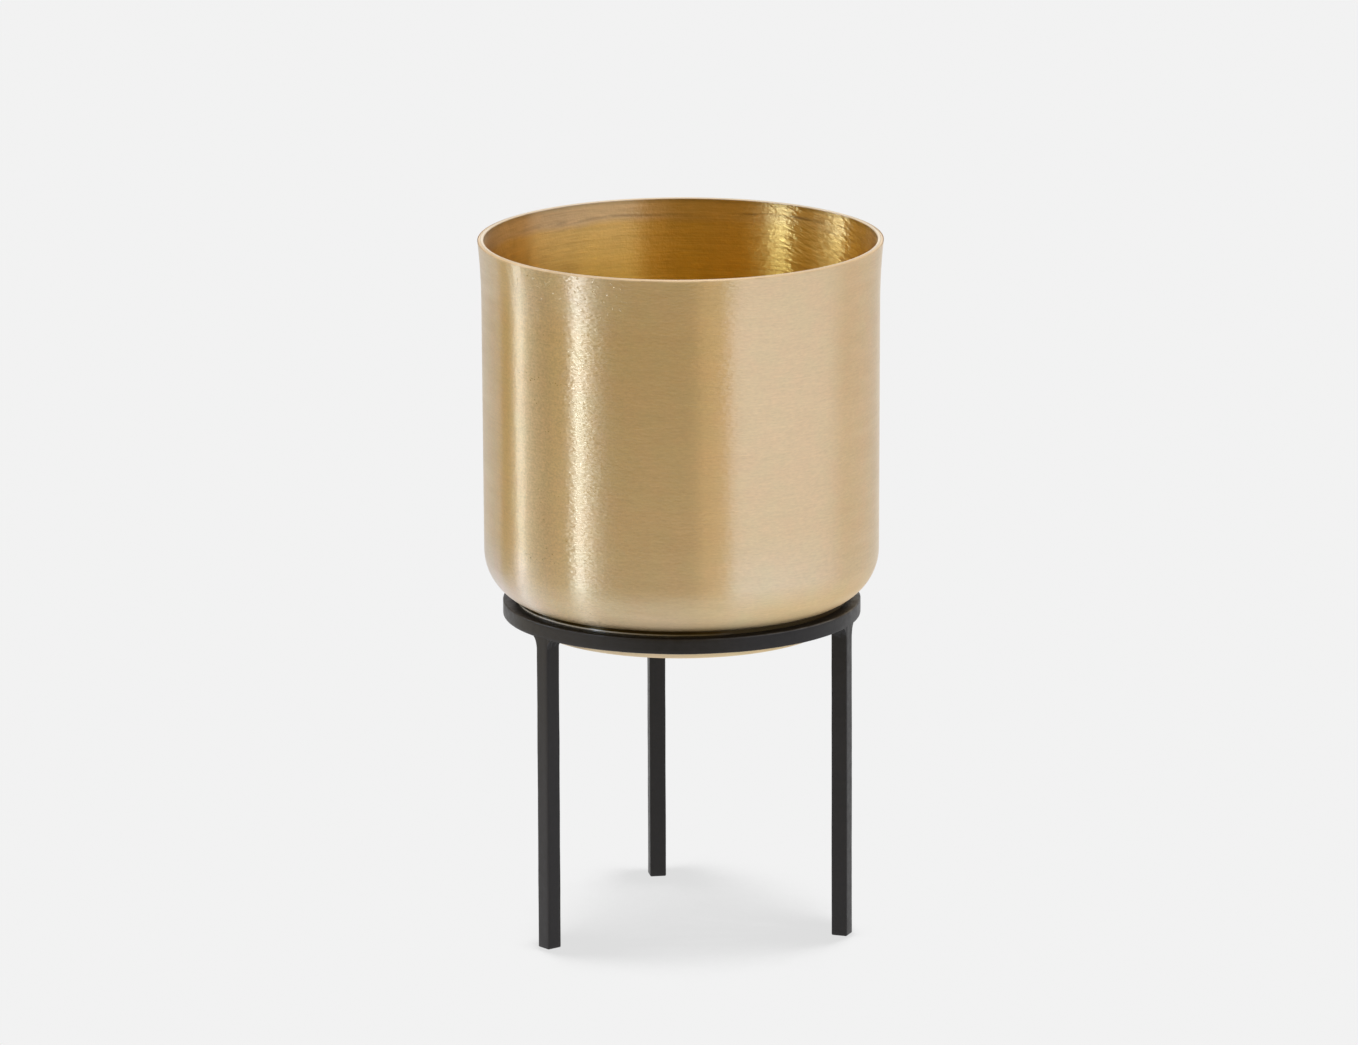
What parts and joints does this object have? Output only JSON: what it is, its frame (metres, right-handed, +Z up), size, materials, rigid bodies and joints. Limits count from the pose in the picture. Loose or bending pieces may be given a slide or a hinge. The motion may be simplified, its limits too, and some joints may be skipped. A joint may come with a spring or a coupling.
{
  "type": "planter with stand",
  "caption": "Round metal pot with a flared lip and a narrower foot, standing in the ring of a slim welded stand on square-bar legs.",
  "frame": {"origin": "centre of the stand's footprint on the floor, on the pot's axis", "axes": "+Z up along the pot's axis, -Y to the front between the two front legs, +X to the right as seen from the front"},
  "size_m": [0.1562, 0.1562, 0.2707],
  "materials": {
    "brushed_brass": "brushed",
    "black_paint": "satin"
  },
  "bodies": {
    "stand": {"stand_ring": "black_paint", "ring_seam_weld": "black_paint", "leg_front_left": "black_paint", "leg_front_right": "black_paint", "leg_back": "black_paint", "weld_front_left_a": "black_paint", "weld_front_left_b": "black_paint", "weld_front_right_a": "black_paint", "weld_front_right_b": "black_paint", "weld_back_a": "black_paint", "weld_back_b": "black_paint"},
    "pot": {"pot": "brushed_brass"}
  },
  "joints": [
    {"name": "pot_lift", "type": "slide", "parent": "stand", "child": "pot", "axis": [0, 0, 1], "range_m": [0, 0.12]}
  ]
}
